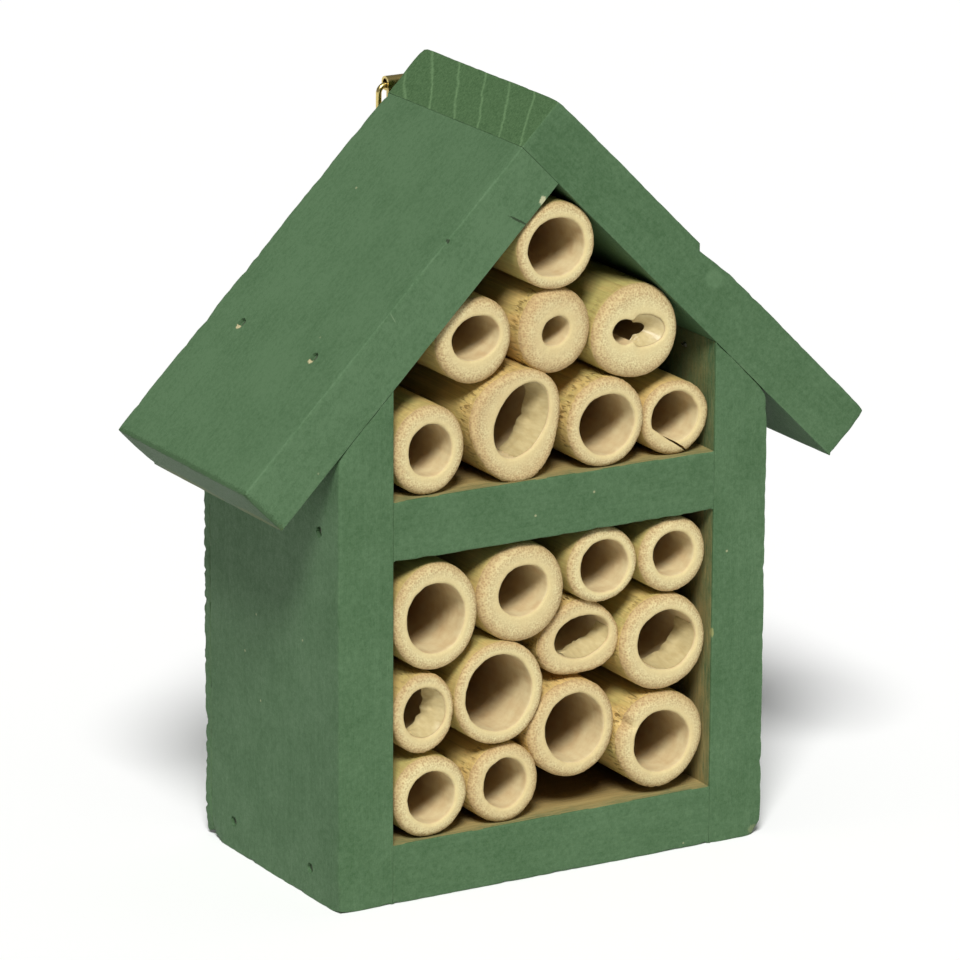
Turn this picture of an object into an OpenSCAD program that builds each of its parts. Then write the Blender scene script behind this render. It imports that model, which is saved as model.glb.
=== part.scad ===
// Insect hotel: a small gabled house of painted boards, packed with bamboo
// canes above and below a shelf, with a brass ring hanger on its back.
// The house stands on z = 0, its front faces -Y, and x = 0 is midway between
// the side walls. y = 0 is midway between the front and the back panel's back.

/* [House] */
// Width over the outer faces of the side walls
body_w = 100; // [80:1:130]
// Height of the side walls' outer faces
wall_h = 95; // [80:1:120]
// Depth of every board, front to back
board_d = 54; // [44:1:70]
// Thickness of the walls, the floor and the shelf
board_t = 12.5; // [9:0.5:16]
// Height of the shelf's underside above the ground
shelf_z = 72; // [58:1:80]

/* [Roof] */
// Thickness of the roof boards
roof_t = 12; // [10:0.5:16]
// Reach of the left roof board past its wall, along the slope
eave_left = 18; // [8:1:30]
// Reach of the right roof board past its wall, along the slope
eave_right = 22; // [8:1:30]

/* [Back panel] */
// Thickness of the back panel
panel_t = 3; // [2.5:0.5:6]
// How far the back panel laps onto the roof boards' back edges
panel_lap = 8; // [4:0.5:9]

/* [Canes] */
// Clearance between a cane and whatever is next to it
cane_gap = 0.1; // [0.05:0.05:0.3]

/* [Fixings] */
// Diameter of a brad's shank
brad_d = 1.3; // [1:0.1:2]
// Diameter of a brad's head
brad_head_d = 2; // [1.8:0.1:3]
// Thickness of a brad's head
brad_head_t = 0.8; // [0.5:0.1:1.5]
// Length of the brads through the walls
wall_brad_len = 25; // [20:1:30]
// Length of the brads through the back panel
panel_brad_len = 12; // [8:1:16]
// Depth that heads and crowns are driven below the surface
sink = 0.8; // [0.4:0.1:1]
// Insets of the floor's brads from the boards' front and back edges
floor_brad_inset = [12, 9.5]; // [6:0.5:16]
// Insets of the shelf's brads from the boards' front and back edges
shelf_brad_inset = [8, 9.5]; // [6:0.5:16]
// Width of a staple's crown
staple_w = 4; // [3:0.5:6]
// Width of the staple wire, across the crown
staple_wire = 1.2; // [0.8:0.1:1.4]
// Length of the legs of the staples through the roof into the walls
eave_staple_len = 14; // [12.5:0.5:14.5]
// Length of the legs of the staples that join the roof boards at the ridge
ridge_staple_len = 20; // [16:1:24]
// Inset of the staples from the boards' front and back edges
staple_inset = 12; // [6:1:16]
// Distance of the eave staples from the walls' inner faces, down the slope
staple_past_wall = 4; // [3.5:0.5:8]

/* [Hanger] */
// Width of the brass strap
strap_w = 13; // [10:0.5:16]
// Thickness of the strap's sheet
strap_t = 0.5; // [0.4:0.1:0.8]
// Bore of the strap's rolled knuckle
knuckle_bore = 2; // [1.8:0.1:2.6]
// Height of the knuckle above the line where the roof's undersides meet
knuckle_rise = 9.2; // [8:0.1:12]
// Diameter of the ring's wire
ring_wire = 1.2; // [1:0.1:1.4]
// Gap between the strap's edges and the ring's sides
ring_side_gap = 0.9; // [0.6:0.1:2]
// Radius of the bends where the ring leaves the knuckle, at the wire's centre
ring_bend = 1.6; // [1.2:0.1:2]
// Length of the ring's straight sides
ring_side = 4; // [3:0.5:8]
// Diameter of the hanger screw's shank
screw_d = 2.6; // [2:0.1:3.5]
// Diameter of the hanger screw's head
screw_head_d = 5; // [4:0.1:6]
// Height of the hanger screw's head
screw_head_h = 1.5; // [1:0.1:2]
// Length of the hanger screw under its head
screw_len = 11; // [8:1:14]
// Clearance round the screw where it passes through the strap
screw_clear = 0.2; // [0.1:0.05:0.4]

/* [Hidden] */

$fn = 48;
eps = 0.01;
pitch = 45;
root2 = sqrt(2);

green = "#5a7354";
bamboo = "#d9c48c";
steel = "#9a9a92";
brass = "#c2a14e";

// Planes of the house, front to back and bottom to top
front_y = -(board_d + panel_t) / 2;
panel_y = front_y + board_d;
back_y = panel_y + panel_t;
inner_w = body_w - 2 * board_t;
apex_z = wall_h + body_w / 2;
shelf_top = shelf_z + board_t;

// Distances down a roof board from the line where the undersides meet
slope_to_wall = inner_w / 2 * root2;
slope_to_eave = body_w / 2 * root2;

// Centre and outer radius of the hanger's knuckle
knuckle_r = knuckle_bore / 2 + strap_t;
knuckle_y = back_y + knuckle_r;
knuckle_z = apex_z + knuckle_rise;

// The strap ends in a half circle, and its screw sits just below the knuckle
screw_z = knuckle_z - knuckle_r - screw_head_d / 2 - 0.3;
strap_end_z = screw_z - 1.5;

// The ring's bar rests on the bottom of the knuckle's bore
ring_play = 0.05;
ring_bar_z = knuckle_z - (knuckle_bore - ring_wire) / 2 + ring_play;
ring_half_w = strap_w / 2 + ring_side_gap + ring_wire / 2;
ring_arc_z = ring_bar_z - ring_bend - ring_side;

// Width between the walls that the cane tables are drawn for
stack_w = 75;

// One row per cane, in the order in which they are laid in:
// [x, width, height, lift, bore, setback]. x is the cane's centre, lift is how far
// it is wedged above where it would rest, and setback is how far its front end
// stands behind the boards' front. Width and height differ on an oval cane.
UPPER = [
  [-28.8, 16.2, 18.2, 0, 10.2, 0.5],
  [-8.6, 20.6, 23.2, 0, 13.4, 0.5],
  [12.2, 17.6, 18.4, 0, 12.6, 0.5],
  [29.2, 15.4, 15.4, 0, 10.4, 1.5],
  [-17.8, 17, 17.4, 0.4, 9.8, 1.5],
  [0.6, 16.4, 17.6, 0, 6.2, 1],
  [19.2, 19.8, 19.4, 0.2, 6.4, 0.5],
  [0.2, 17.6, 17.6, 0, 12.6, 0.5]
];
LOWER = [
  [-28.2, 16.8, 16.8, 0, 10.8, 0.5],
  [-10.8, 16.2, 16.4, 0, 10, 1],
  [26.2, 20.4, 20.2, 1.6, 13, 0.5],
  [5.2, 20.2, 20.2, 0, 13.6, 1],
  [-29.8, 14.2, 16.4, 1.2, 9.8, 1],
  [-12.4, 20.2, 21.4, 0, 15.2, 0.5],
  [26.6, 20, 20, 0.6, 13, 0.5],
  [7.4, 18.8, 15.4, 0, 8.8, 2.5],
  [-27.2, 19.4, 22, 1, 13.4, 0.5],
  [-7.2, 20, 20.4, 0, 10.8, 0.5],
  [12, 16, 15.6, 0, 11, 1],
  [28.6, 15.6, 15.6, 0.6, 9.6, 0.5]
];

// A cane's outline is a circle of radius r swept over a box 2t wide and 2s high.
function outline_r(c, g) = g * min(c[1], c[2]) / 2;
function outline_t(c, g) = g * c[1] / 2 - outline_r(c, g);
function outline_s(c, g) = g * c[2] / 2 - outline_r(c, g);

// Height at which an outline at x rests on one that is already laid, or 0 where
// it passes beside it. A laid cane is [x, z, r, t, s].
function height_on(laid, x, r, t, s) =
  let (reach = r + laid[2] + cane_gap)
  let (side = max(0, abs(x - laid[0]) - t - laid[3]))
  side < reach ? laid[1] + s + laid[4] + sqrt(reach * reach - side * side) : 0;

// Cane c at scale g, resting on the floor or on the highest cane beneath it
function lay(c, g, spread, done) =
  let (x = c[0] * spread, r = outline_r(c, g), t = outline_t(c, g), s = outline_s(c, g))
  let (rests = [for (d = done) height_on(d, x, r, t, s)])
  [x, max(concat([r + s + cane_gap], rests)) + c[3] * g, r, t, s];

function stack(canes, g, spread, done = []) =
  len(done) == len(canes) ? done
  : stack(canes, g, spread, concat(done, [lay(canes[len(done)], g, spread, done)]));

// Free height over a cane, below a flat ceiling or below the roof boards
function under_ceiling(p, room) = room - p[1] - p[4] - p[2];
function under_roof(p, room) = (room - abs(p[0]) - p[1] - p[3] - p[4]) / root2 - p[2];
function room_over(p, room, gabled) = gabled ? under_roof(p, room) : under_ceiling(p, room);
function clears(laid, room, gabled) =
  min([for (p = laid) room_over(p, room, gabled)]) >= cane_gap;

// Largest scale at which the whole stack still clears what is above it
function best_scale(canes, spread, room, gabled, low, high, steps = 12) =
  clears(stack(canes, high, spread), room, gabled) ? high
  : steps == 0 ? low
  : let (mid = (low + high) / 2)
    clears(stack(canes, mid, spread), room, gabled)
    ? best_scale(canes, spread, room, gabled, mid, high, steps - 1)
    : best_scale(canes, spread, room, gabled, low, mid, steps - 1);

spread = inner_w / stack_w;
upper_scale = best_scale(UPPER, spread, apex_z - shelf_top, true, spread / 3, spread);
lower_scale = best_scale(LOWER, spread, shelf_z - board_t, false, spread / 3, spread);
upper_laid = stack(UPPER, upper_scale, spread);
lower_laid = stack(LOWER, lower_scale, spread);

// Draws an outline in x and z, extruded from y0 back to y1
module along_y(y0, y1) {
  translate([0, y1, 0])
    rotate([90, 0, 0])
      linear_extrude(y1 - y0)
        children();
}

// A frame on the right roof board's underside: x runs down the slope from the
// apex and z points out of the board. The left board's frame is its mirror.
module right_slope() {
  translate([0, 0, apex_z])
    rotate([0, pitch, 0])
      children();
}

module left_slope() {
  mirror([1, 0, 0])
    right_slope()
      children();
}

// Fixings are drawn driven down -Z from a surface at z = 0, and each hole is the
// fixing's own shape, open to the surface above its head.
module brad(length) {
  translate([0, 0, -sink - brad_head_t])
    cylinder(d = brad_head_d, h = brad_head_t);
  translate([0, 0, -sink - length])
    cylinder(d = brad_d, h = length - brad_head_t);
}

module brad_hole(length) {
  translate([0, 0, -sink - brad_head_t])
    cylinder(d = brad_head_d, h = brad_head_t + sink + eps);
  translate([0, 0, -sink - length])
    cylinder(d = brad_d, h = length);
}

module staple_legs(length) {
  leg = staple_wire / 2;
  for (side = [-1, 1])
    translate([side * (staple_w - leg) / 2 - leg / 2, -staple_wire / 2, -sink - length])
      cube([leg, staple_wire, length]);
}

module staple(length) {
  staple_legs(length);
  translate([-staple_w / 2, -staple_wire / 2, -sink - staple_wire / 2])
    cube([staple_w, staple_wire, staple_wire / 2]);
}

module staple_hole(length) {
  staple_legs(length);
  translate([-staple_w / 2, -staple_wire / 2, -sink - staple_wire / 2])
    cube([staple_w, staple_wire, staple_wire / 2 + sink + eps]);
}

// Places of the fixings. Children are drawn driven down -Z at each place.
module at_wall_brads() {
  places = [
    for (i = [0, 1]) [board_t / 2, floor_brad_inset[i], i],
    for (i = [0, 1]) [shelf_z + board_t / 2, shelf_brad_inset[i], i]
  ];
  for (p = places)
    translate([body_w / 2, p[2] == 0 ? front_y + p[1] : panel_y - p[1], p[0]])
      rotate([0, 90, 0])
        children();
}

module at_wall_brads_left() {
  mirror([1, 0, 0])
    at_wall_brads()
      children();
}

module at_staples(down_slope) {
  for (y = [front_y + staple_inset, panel_y - staple_inset])
    translate([down_slope, y, roof_t])
      children();
}

module at_eave_staples() {
  right_slope()
    at_staples(slope_to_wall + staple_past_wall)
      children();
}

module at_eave_staples_left() {
  mirror([1, 0, 0])
    at_eave_staples()
      children();
}

module at_ridge_staples() {
  right_slope()
    at_staples(-roof_t / 2)
      children();
}

module at_panel_brads() {
  wall_x = (body_w - board_t) / 2;
  low_z = board_t + 12;
  high_z = wall_h - 12;
  lap_mid = panel_lap / 2 * root2;
  roof_x = body_w / 4;
  places = [
    [wall_x, low_z], [wall_x, high_z], [roof_x, apex_z - roof_x + lap_mid]
  ];
  for (side = [-1, 1], p = places)
    translate([side * p[0], back_y, p[1]])
      rotate([-90, 0, 0])
        children();
  for (x = [-inner_w / 4, inner_w / 4])
    translate([x, back_y, board_t / 2])
      rotate([-90, 0, 0])
        children();
}

module at_hanger_screw() {
  translate([0, back_y + 2 * strap_t, screw_z])
    rotate([-90, 0, 0])
      children();
}

// One side wall, standing on the ground with its top cut to the roof's slope
module wall_blank() {
  along_y(front_y, panel_y)
    polygon([
      [inner_w / 2, 0], [body_w / 2, 0],
      [body_w / 2, wall_h], [inner_w / 2, wall_h + board_t]
    ]);
}

module wall_right() {
  color(green)
    difference() {
      wall_blank();
      at_wall_brads() brad_hole(wall_brad_len);
      at_eave_staples() staple_hole(eave_staple_len);
      at_panel_brads() brad_hole(panel_brad_len);
    }
}

module wall_left() {
  color(green)
    difference() {
      mirror([1, 0, 0]) wall_blank();
      at_wall_brads_left() brad_hole(wall_brad_len);
      at_eave_staples_left() staple_hole(eave_staple_len);
      at_panel_brads() brad_hole(panel_brad_len);
    }
}

// The floor and the shelf are the same board at two heights
module cross_board(z) {
  difference() {
    translate([-inner_w / 2, front_y, z])
      cube([inner_w, board_d, board_t]);
    at_wall_brads() brad_hole(wall_brad_len);
    at_wall_brads_left() brad_hole(wall_brad_len);
    at_panel_brads() brad_hole(panel_brad_len);
  }
}

module floor_board() {
  color(green) cross_board(0);
}

module shelf() {
  color(green) cross_board(shelf_z);
}

// The left board stops square against the right board's underside
module roof_board_left() {
  color(green)
    difference() {
      left_slope()
        translate([0, front_y, 0])
          cube([slope_to_eave + eave_left, board_d, roof_t]);
      at_eave_staples_left() staple_hole(eave_staple_len);
      at_ridge_staples() staple_hole(ridge_staple_len);
      at_panel_brads() brad_hole(panel_brad_len);
    }
}

// The right board runs up past the apex to cover the left board's end
module roof_board_right() {
  color(green)
    difference() {
      right_slope()
        translate([-roof_t, front_y, 0])
          cube([roof_t + slope_to_eave + eave_right, board_d, roof_t]);
      at_eave_staples() staple_hole(eave_staple_len);
      at_ridge_staples() staple_hole(ridge_staple_len);
      at_panel_brads() brad_hole(panel_brad_len);
      at_hanger_screw()
        translate([0, 0, -screw_len])
          cylinder(d = screw_d, h = screw_len);
    }
}

// Plywood panel over the back of the walls, lapping onto the roof boards
module back_panel() {
  lap = panel_lap * root2;
  color(green)
    difference() {
      along_y(panel_y, back_y)
        polygon([
          [-body_w / 2, 0], [body_w / 2, 0], [body_w / 2, wall_h + lap],
          [0, apex_z + lap], [-body_w / 2, wall_h + lap]
        ]);
      at_panel_brads() brad_hole(panel_brad_len);
      at_hanger_screw()
        translate([0, 0, -screw_len])
          cylinder(d = screw_d, h = screw_len);
    }
}

// Outline of a cane: four round corners joined by straight sides
module cane_outline(r, t, s) {
  for (x = [-t, t], z = [-s, s])
    translate([x, z])
      circle(r = r, $fn = 64);
  if (t > 0)
    square([2 * t, 2 * (r + s)], center = true);
  if (s > 0)
    square([2 * (r + t), 2 * s], center = true);
}

// A cane laid at p = [x, z, r, t, s] over a floor at z, with its own bore and
// setback. It reaches back to the panel.
module cane(p, z, bore, setback) {
  color(bamboo)
    translate([p[0], 0, z + p[1]])
      difference() {
        along_y(front_y + setback, panel_y - cane_gap)
          cane_outline(p[2], p[3], p[4]);
        along_y(front_y - eps, panel_y)
          circle(d = bore, $fn = 64);
      }
}

module upper_cane(i) {
  cane(upper_laid[i - 1], shelf_top, UPPER[i - 1][4] * upper_scale, UPPER[i - 1][5]);
}

module lower_cane(i) {
  cane(lower_laid[i - 1], board_t, LOWER[i - 1][4] * lower_scale, LOWER[i - 1][5]);
}

module wall_brads_left() {
  color(steel) at_wall_brads_left() brad(wall_brad_len);
}

module wall_brads_right() {
  color(steel) at_wall_brads() brad(wall_brad_len);
}

module eave_staples_left() {
  color(steel) at_eave_staples_left() staple(eave_staple_len);
}

module eave_staples_right() {
  color(steel) at_eave_staples() staple(eave_staple_len);
}

module ridge_staples() {
  color(steel) at_ridge_staples() staple(ridge_staple_len);
}

module panel_brads() {
  color(steel) at_panel_brads() brad(panel_brad_len);
}

// The strap is folded over the ring's bar: two leaves and a rolled knuckle
module hanger_strap() {
  color(brass)
    difference() {
      union() {
        translate([-strap_w / 2, knuckle_y, knuckle_z])
          rotate([0, 90, 0])
            cylinder(r = knuckle_r, h = strap_w);
        intersection() {
          translate([-strap_w / 2, back_y, strap_end_z - strap_w / 2])
            cube([strap_w, 2 * strap_t, knuckle_z - strap_end_z + strap_w / 2]);
          union() {
            along_y(back_y, knuckle_y)
              translate([0, strap_end_z])
                circle(d = strap_w);
            translate([-strap_w / 2, back_y, strap_end_z])
              cube([strap_w, 2 * strap_t, knuckle_z - strap_end_z]);
          }
        }
      }
      translate([-strap_w / 2 - eps, knuckle_y, knuckle_z])
        rotate([0, 90, 0])
          cylinder(d = knuckle_bore, h = strap_w + 2 * eps);
      at_hanger_screw()
        translate([0, 0, -3 * strap_t])
          cylinder(d = screw_d + 2 * screw_clear, h = 4 * strap_t);
    }
}

// A stretch of the ring's wire, of the given length up +Z
module wire(length) {
  cylinder(d = ring_wire, h = length);
}

// A bend of the ring's wire in the XY plane, from angle 0 on
module wire_bend(radius, angle) {
  rotate_extrude(angle = angle, $fn = 96)
    translate([radius, 0])
      circle(d = ring_wire);
}

// D-shaped ring, hanging from its straight bar
module hanger_ring() {
  bar_half = ring_half_w - ring_bend;
  color(brass)
    translate([0, knuckle_y, 0]) {
      translate([-bar_half, 0, ring_bar_z])
        rotate([0, 90, 0])
          wire(2 * bar_half);
      for (side = [0, 1])
        mirror([side, 0, 0]) {
          translate([bar_half, 0, ring_bar_z - ring_bend])
            rotate([90, 0, 0])
              wire_bend(ring_bend, 90);
          translate([ring_half_w, 0, ring_arc_z])
            wire(ring_side);
        }
      translate([0, 0, ring_arc_z])
        rotate([90, 180, 0])
          wire_bend(ring_half_w, 180);
    }
}

// Round-headed screw with a slot across its head
module hanger_screw() {
  slot_w = 0.8;
  slot_depth = 0.7;
  color(brass)
    at_hanger_screw()
      difference() {
        union() {
          cylinder(d = screw_head_d, h = screw_head_h);
          translate([0, 0, -screw_len])
            cylinder(d = screw_d, h = screw_len);
        }
        translate([-screw_head_d, -slot_w / 2, screw_head_h - slot_depth])
          cube([2 * screw_head_d, slot_w, slot_depth + eps]);
      }
}

module cane_upper_1() { upper_cane(1); }
module cane_upper_2() { upper_cane(2); }
module cane_upper_3() { upper_cane(3); }
module cane_upper_4() { upper_cane(4); }
module cane_upper_5() { upper_cane(5); }
module cane_upper_6() { upper_cane(6); }
module cane_upper_7() { upper_cane(7); }
module cane_upper_8() { upper_cane(8); }
module cane_lower_1() { lower_cane(1); }
module cane_lower_2() { lower_cane(2); }
module cane_lower_3() { lower_cane(3); }
module cane_lower_4() { lower_cane(4); }
module cane_lower_5() { lower_cane(5); }
module cane_lower_6() { lower_cane(6); }
module cane_lower_7() { lower_cane(7); }
module cane_lower_8() { lower_cane(8); }
module cane_lower_9() { lower_cane(9); }
module cane_lower_10() { lower_cane(10); }
module cane_lower_11() { lower_cane(11); }
module cane_lower_12() { lower_cane(12); }

wall_left();
wall_right();
floor_board();
shelf();
roof_board_left();
roof_board_right();
back_panel();
cane_upper_1();
cane_upper_2();
cane_upper_3();
cane_upper_4();
cane_upper_5();
cane_upper_6();
cane_upper_7();
cane_upper_8();
cane_lower_1();
cane_lower_2();
cane_lower_3();
cane_lower_4();
cane_lower_5();
cane_lower_6();
cane_lower_7();
cane_lower_8();
cane_lower_9();
cane_lower_10();
cane_lower_11();
cane_lower_12();
wall_brads_left();
wall_brads_right();
eave_staples_left();
eave_staples_right();
ridge_staples();
panel_brads();
hanger_strap();
hanger_ring();
hanger_screw();
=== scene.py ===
import math
from functools import partial

import bmesh
import bpy
from bpy.props import FloatProperty, FloatVectorProperty, IntProperty, PointerProperty
from mathutils import Matrix, Vector
from mathutils.noise import noise


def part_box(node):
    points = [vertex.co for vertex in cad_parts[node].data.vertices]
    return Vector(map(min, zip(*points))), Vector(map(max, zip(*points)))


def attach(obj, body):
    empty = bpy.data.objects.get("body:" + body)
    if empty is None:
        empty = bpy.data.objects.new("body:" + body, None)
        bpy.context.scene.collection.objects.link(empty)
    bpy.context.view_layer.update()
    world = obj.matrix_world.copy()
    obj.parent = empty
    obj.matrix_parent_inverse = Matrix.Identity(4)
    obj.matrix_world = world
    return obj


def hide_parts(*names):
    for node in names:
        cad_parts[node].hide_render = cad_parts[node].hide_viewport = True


bl_info = {
    "name": "Insect hotel",
    "version": (1, 0, 0),
    "blender": (4, 5, 0),
    "location": "View3D > Sidebar > Insect hotel",
    "description": "Builds a small gabled insect hotel of painted boards and bamboo canes",
    "category": "Object",
}

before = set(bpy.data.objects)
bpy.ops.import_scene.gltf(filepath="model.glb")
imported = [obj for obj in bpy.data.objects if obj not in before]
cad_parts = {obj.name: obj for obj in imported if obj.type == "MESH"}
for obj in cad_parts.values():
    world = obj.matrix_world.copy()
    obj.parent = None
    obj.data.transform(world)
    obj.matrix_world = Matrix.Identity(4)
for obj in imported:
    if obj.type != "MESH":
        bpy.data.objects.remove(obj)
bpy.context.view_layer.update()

MM = 0.001
ROOT2 = math.sqrt(2)
X, Y, Z = Vector((1, 0, 0)), Vector((0, 1, 0)), Vector((0, 0, 1))


def linear(hex_colour):
    """Turns an sRGB hex colour into linear red, green, blue and alpha."""
    values = [int(hex_colour[i:i + 2], 16) / 255 for i in (1, 3, 5)]
    return tuple(v / 12.92 if v <= 0.04045 else ((v + 0.055) / 1.055) ** 2.4 for v in values) + (1.0,)


def bell(away, width):
    """Falls from 1 towards 0 as away grows past width."""
    return math.exp(-(away / width) ** 2)


def box_mm(node):
    """Lowest and highest corners of a CAD node, in millimetres."""
    low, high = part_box(node)
    return low / MM, high / MM


# ---------------------------------------------------------------- sizes and colours

def colour_property(name, description, hex_colour):
    """A colour that a user can change."""
    return FloatVectorProperty(name=name, description=description, default=linear(hex_colour)[:3], size=3,
                               subtype="COLOR")


def length_property(name, description, default):
    """A length in metres that a user can change."""
    return FloatProperty(name=name, description=description, default=default, unit="LENGTH")


def angle_property(name, description, degrees):
    """An angle that a user can change."""
    return FloatProperty(name=name, description=description, default=math.radians(degrees), subtype="ANGLE")


class BoardLook(bpy.types.PropertyGroup):
    """Sizes and colours of the painted boards."""
    rounding: length_property("Edge rounding", "Radius that the boards' edges are sanded to", 0.0002)
    joint: length_property("Joint rounding", "Radius of the edges that meet another board", 0.00008)
    wear: length_property("Edge wear", "Depth of the wear along the boards' edges", 0.0002)
    grid: length_property("Surface step", "Spacing of the points that carry the boards' unevenness", 0.0013)
    paint_dark: colour_property("Paint, dark", "Darker tone of the green paint", "#405d3c")
    paint_light: colour_property("Paint, light", "Lighter tone of the green paint", "#54704f")
    paint_worn: colour_property("Paint, worn", "Tone of the paint where an edge is rubbed", "#6d8263")
    end_dark: colour_property("End grain, dark", "Paint soaked into the end grain", "#35522f")
    end_light: colour_property("End grain, light", "Growth rings that show through the paint", "#6c8a60")
    pine: colour_property("Bare pine", "Unpainted wood inside the house", "#b7a26c")
    pine_dark: colour_property("Bare pine, late wood", "Darker bands of the unpainted wood", "#8c7845")


class CaneLook(bpy.types.PropertyGroup):
    """Sizes and colours of the bamboo canes."""
    rim: length_property("Rim rounding", "Radius that a cane's outer rim is sanded to", 0.0025)
    bore_rim: length_property("Bore rounding", "Radius of the edge between a cane's end and its bore", 0.0006)
    steps: IntProperty(name="Steps", description="Faces round a cane", default=144, min=24, max=192)
    fibre: length_property("Fibre spacing", "Distance between the fibre bundles in a cane's end", 0.0004)
    face: colour_property("Sawn end", "Ground tissue of a cane's sawn end", "#d5c997")
    bundle: colour_property("Fibre bundles", "Fibre bundles in a cane's sawn end", "#9a7a52")
    bore: colour_property("Bore", "Pale lining of a cane's bore", "#d8c79a")
    skin: colour_property("Skin", "Dried skin of a cane", "#e6c27a")
    skin_green: colour_property("Skin, green", "Skin of a cane that is still greenish", "#bdb26c")
    film: colour_property("Film", "Papery film inside a cane", "#cfc192")


class HangerLook(bpy.types.PropertyGroup):
    """Colours of the fixings and the hanger."""
    brass: colour_property("Brass", "Thin brass of the hanger", "#d8c47e")
    steel: colour_property("Steel", "Steel of the brads and staples", "#8d8c82")


class StageLook(bpy.types.PropertyGroup):
    """Floor, lights and camera."""
    floor: colour_property("Floor", "Colour of the plain floor", "#fafaf9")
    dome: FloatProperty(name="Dome", description="Strength of the even light from all round", default=0.2, min=0)
    key: FloatProperty(name="Key light", description="Strength of the soft light from the front left",
                       default=3.6, min=0)
    softness: angle_property("Softness", "How wide the key light is, seen from the house", 18)
    azimuth: angle_property("Camera azimuth", "Turn of the camera about the house", -30.28)
    elevation: angle_property("Camera elevation", "Height of the camera's view", 16.47)
    roll: angle_property("Camera roll", "Tilt of the camera about its own view", 0.29)
    distance: length_property("Camera distance", "Distance from the camera to the middle of the house", 1.4016)
    lens: FloatProperty(name="Lens", description="Focal length in millimetres", default=256.6)


LOOKS = {"hotel_boards": BoardLook, "hotel_canes": CaneLook, "hotel_hanger": HangerLook, "hotel_stage": StageLook}


# ---------------------------------------------------------------- nodes and materials

def add_node(tree, kind, *values, ramp=None, **named):
    """Adds a shader node.

    Lower-case names are its settings and capitalised ones its inputs. Plain values fill
    the inputs it shows, in order, and a node given as a value means its first output.
    Unless it is told otherwise, Mix mixes colours and Math multiplies its two values,
    or multiplies two and adds the third.
    """
    node = tree.nodes.new("ShaderNode" + kind)
    if kind == "Mix":
        named.setdefault("data_type", "RGBA")
    if kind == "Math":
        named.setdefault("operation", "MULTIPLY_ADD" if len(values) == 3 else "MULTIPLY")
    for name, value in named.items():
        if name[0].islower():
            setattr(node, name, value)
    pairs = list(zip([socket for socket in node.inputs if socket.enabled], values))
    pairs += [(node.inputs[name.replace("_", " ")], value) for name, value in named.items() if name[0].isupper()]
    for socket, value in pairs:
        if isinstance(value, bpy.types.Node):
            value = next(output for output in value.outputs if output.enabled)
        if isinstance(value, bpy.types.NodeSocket):
            tree.links.new(value, socket)
        else:
            socket.default_value = value
    for _ in (ramp or ())[2:]:
        node.color_ramp.elements.new(0.5)
    for stop, (place, value) in zip(node.color_ramp.elements if ramp else (), ramp or ()):
        stop.position = place
        stop.color = (value, value, value, 1)
    return node


def start_material(name):
    """A new material, and what adds a node to its empty tree."""
    material = bpy.data.materials.new(name)
    material.use_nodes = True
    material.node_tree.nodes.clear()
    return material, partial(add_node, material.node_tree)


def stretched(add, place, *lengths):
    """A place divided by three lengths in millimetres, for a texture of scale 1."""
    return add("Mapping", Vector=place, Scale=[1000 / length for length in lengths])


def attributes(add, *names):
    """Values that the piece's mesh stores under these names."""
    return [add("Attribute", attribute_name=name).outputs["Fac"] for name in names]


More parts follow.
